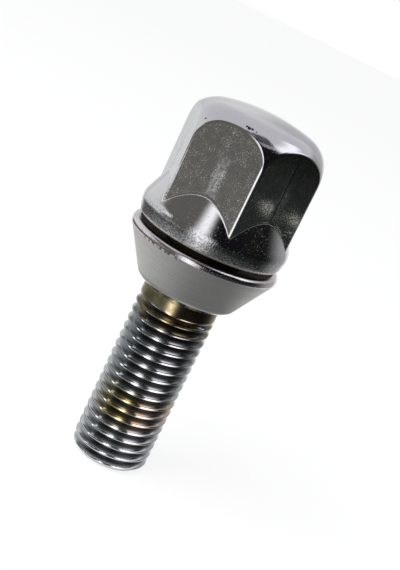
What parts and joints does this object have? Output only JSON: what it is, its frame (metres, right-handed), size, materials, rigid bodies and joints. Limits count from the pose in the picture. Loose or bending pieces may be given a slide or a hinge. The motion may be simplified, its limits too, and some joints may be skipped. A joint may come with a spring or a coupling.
{
  "type": "wheel bolt",
  "caption": "Wheel bolt with a domed hexagon head on a flared skirt, a loose captive conical seat collar on its neck, and a threaded shank with a chamfered end.",
  "frame": {"origin": "centre of the flat end face of the threaded shank", "axes": "+Z along the bolt's axis from the threaded end to the head, with one flat of the hexagon facing -Y"},
  "size_m": [0.0224, 0.0224, 0.056],
  "materials": {
    "plated_steel": "bright plated, slightly pitted",
    "turned_steel": "satin turned cone with a bright plated rim"
  },
  "bodies": {
    "bolt": {"bolt": "plated_steel"},
    "collar": {"cone_collar": "turned_steel"}
  },
  "joints": [
    {"name": "collar_spin", "type": "hinge", "parent": "bolt", "child": "collar", "pos_m": [0, 0, 0.0319], "axis": [0, 0, 1], "continuous": true}
  ]
}
